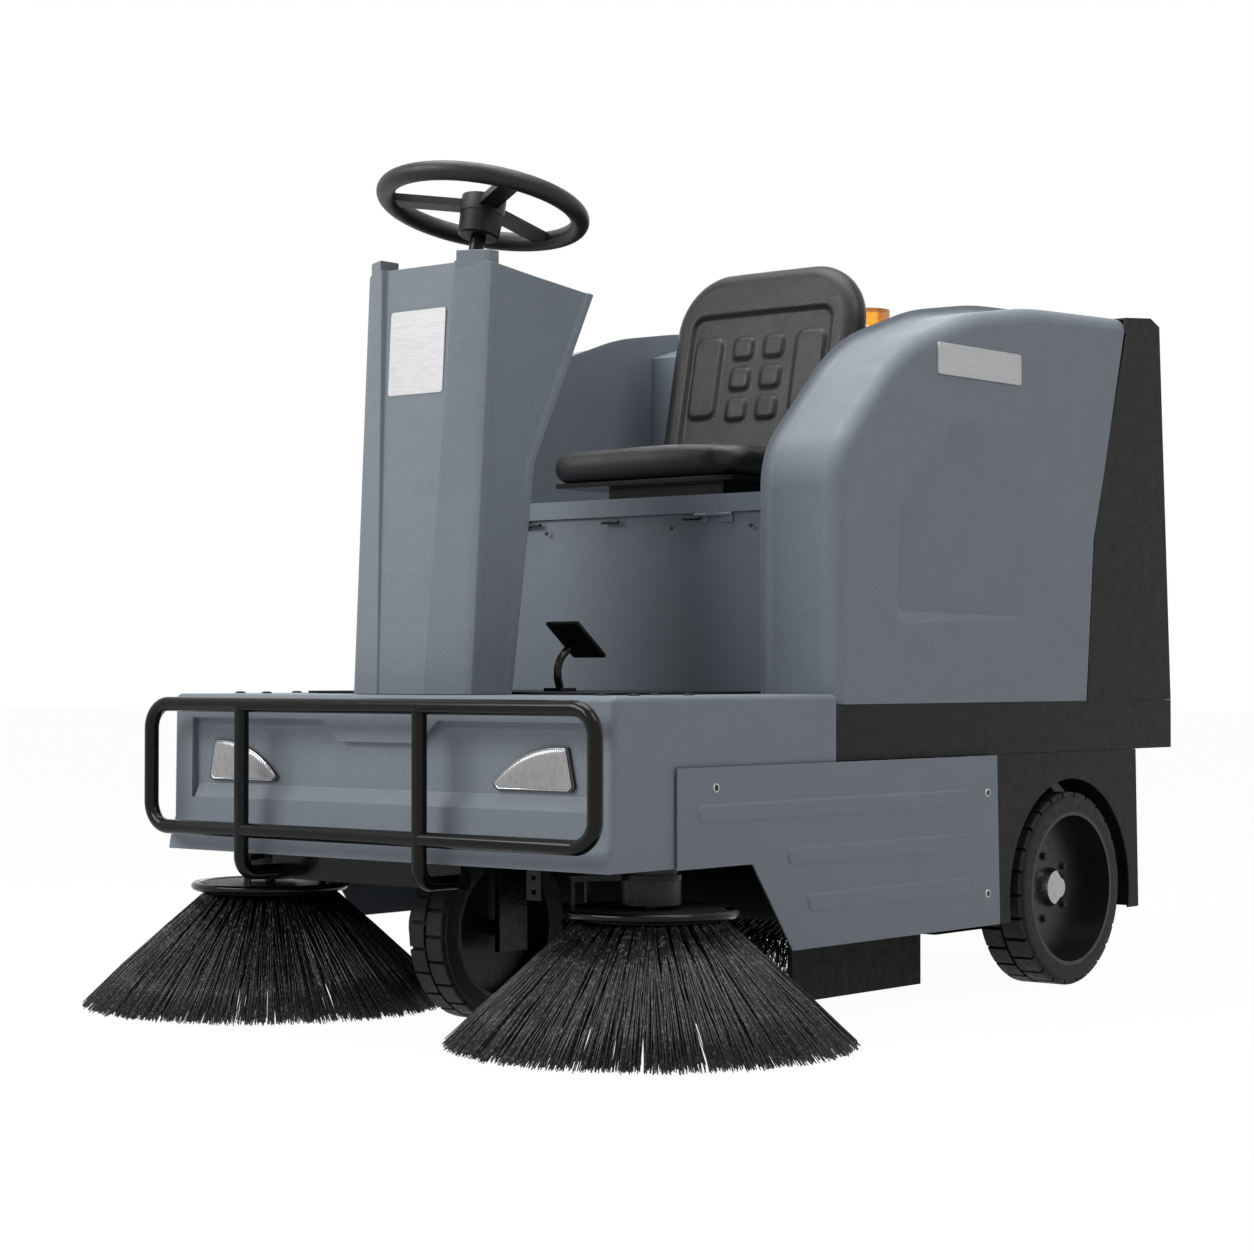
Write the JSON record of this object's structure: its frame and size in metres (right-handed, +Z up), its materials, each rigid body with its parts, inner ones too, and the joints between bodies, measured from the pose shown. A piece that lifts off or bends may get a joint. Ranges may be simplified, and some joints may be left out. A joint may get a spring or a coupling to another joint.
{
  "type": "compact road sweeper",
  "caption": "Ride-on road sweeper with cone-shaped side brushes, a steering column, a padded seat, a tube bumper guard and a rear dirt hopper.",
  "frame": {"origin": "bottom centre of the whole machine, on the ground", "axes": "+Z up, the machine drives towards -Y, +X is its left side"},
  "size_m": [1.3589, 1.679, 1.2698],
  "materials": {
    "frame_steel": "satin black powder coat",
    "slate_moulding": "slate moulded plastic with a fine grain",
    "slate_sheet": "satin slate paint on sheet steel",
    "black_moulding": "matt black moulded plastic",
    "lamp_glass": "clear ribbed lamp glass",
    "wheel_grip": "black soft grip",
    "bright_steel": "bright plated steel",
    "rubber_flap": "matt black rubber",
    "seat_cover": "black-brown grained seat cover",
    "beacon_base": "gloss black",
    "beacon_amber": "amber clear plastic",
    "tyre": "black solid rubber",
    "rim_black": "satin black",
    "motor_black": "satin black",
    "bristle": "black polypropylene bristle",
    "battery_case": "matt dark grey case"
  },
  "bodies": {
    "machine": {"chassis_frame": "frame_steel", "guard": "frame_steel", "pedal_left": "frame_steel", "pedal_right": "frame_steel", "front_shell": "slate_moulding", "column": "slate_moulding", "side_shell_left": "slate_moulding", "side_shell_right": "slate_moulding", "seat_box": "slate_sheet", "cockpit_back": "slate_sheet", "side_panel_left": "slate_sheet", "side_panel_right": "slate_sheet", "dash_panel": "black_moulding", "rear_belt": "black_moulding", "skirt_left": "black_moulding", "skirt_right": "black_moulding", "foot_mat": "black_moulding", "brush_housing": "black_moulding", "headlight_left": "lamp_glass", "headlight_right": "lamp_glass", "flap_left": "rubber_flap", "flap_right": "rubber_flap", "beacon_base": "beacon_base", "beacon_lens": "beacon_amber", "battery": "battery_case"},
    "steering": {"steering_shaft": "bright_steel", "steering_wheel": "wheel_grip"},
    "seat": {"seat_lid": "slate_sheet", "seat_pan": "frame_steel", "seat_cushion": "seat_cover", "seat_back": "seat_cover"},
    "rear_cover": {"rear_hood": "black_moulding"},
    "debris_hopper": {"hopper": "frame_steel"},
    "rear_wheel_left": {"rear_tyre_left": "tyre", "rear_rim_left": "rim_black", "hubcap_left": "bright_steel"},
    "rear_wheel_right": {"rear_tyre_right": "tyre", "rear_rim_right": "rim_black", "hubcap_right": "bright_steel"},
    "front_fork": {"fork": "frame_steel", "drive_motor": "motor_black"},
    "front_wheel": {"front_tyre": "tyre", "front_rim": "rim_black"},
    "arm_left": {"brush_arm_left": "frame_steel", "brush_motor_left": "motor_black"},
    "arm_right": {"brush_arm_right": "frame_steel", "brush_motor_right": "motor_black"},
    "side_brush_left": {"brush_disc_left": "black_moulding", "brush_bristles_left": "bristle"},
    "side_brush_right": {"brush_disc_right": "black_moulding", "brush_bristles_right": "bristle"},
    "sweeping_brush": {"main_brush": "bristle"}
  },
  "joints": [
    {"name": "rear_wheel_left_roll", "type": "hinge", "parent": "machine", "child": "rear_wheel_left", "pos_m": [0.396, 0.4935, 0.1605], "axis": [1, 0, 0], "continuous": true},
    {"name": "rear_wheel_right_roll", "type": "hinge", "parent": "machine", "child": "rear_wheel_right", "pos_m": [-0.396, 0.4935, 0.1605], "axis": [1, 0, 0], "continuous": true},
    {"name": "front_steer", "type": "hinge", "parent": "machine", "child": "front_fork", "pos_m": [0, -0.464, 0.294], "axis": [0, 0, 1], "range_deg": [-55, 55]},
    {"name": "front_wheel_roll", "type": "hinge", "parent": "front_fork", "child": "front_wheel", "pos_m": [0, -0.464, 0.136], "axis": [1, 0, 0], "continuous": true},
    {"name": "steering_turn", "type": "hinge", "parent": "machine", "child": "steering", "pos_m": [0, -0.4755, 1.222], "axis": [0, 0.225, 0.9744], "range_deg": [-165, 165]},
    {"name": "side_brush_left_lift", "type": "hinge", "parent": "machine", "child": "arm_left", "pos_m": [0.296, -0.215, 0.251], "axis": [-1, 0, 0], "range_deg": [0, 6]},
    {"name": "side_brush_left_spin", "type": "hinge", "parent": "arm_left", "child": "side_brush_left", "pos_m": [0.3875, -0.5475, 0.185], "axis": [0, 0, 1], "continuous": true},
    {"name": "side_brush_right_lift", "type": "hinge", "parent": "machine", "child": "arm_right", "pos_m": [-0.296, -0.215, 0.251], "axis": [-1, 0, 0], "range_deg": [0, 6]},
    {"name": "side_brush_right_spin", "type": "hinge", "parent": "arm_right", "child": "side_brush_right", "pos_m": [-0.3875, -0.5475, 0.185], "axis": [0, 0, 1], "continuous": true},
    {"name": "main_brush_spin", "type": "hinge", "parent": "machine", "child": "sweeping_brush", "pos_m": [0, 0.06, 0.142], "axis": [1, 0, 0], "continuous": true},
    {"name": "seat_tip", "type": "hinge", "parent": "machine", "child": "seat", "pos_m": [0, -0.181, 0.7637], "axis": [1, 0, 0], "range_deg": [0, 50]},
    {"name": "rear_cover_tip", "type": "hinge", "parent": "machine", "child": "rear_cover", "pos_m": [0, 0.8365, 0.4725], "axis": [-1, 0, 0], "range_deg": [0, 70]},
    {"name": "hopper_slide", "type": "slide", "parent": "machine", "child": "debris_hopper", "axis": [0, 1, 0], "range_m": [0, 0.4]}
  ],
  "couplings": [
    {"joint": "steering_turn", "follows": "front_steer", "ratio": 3}
  ]
}
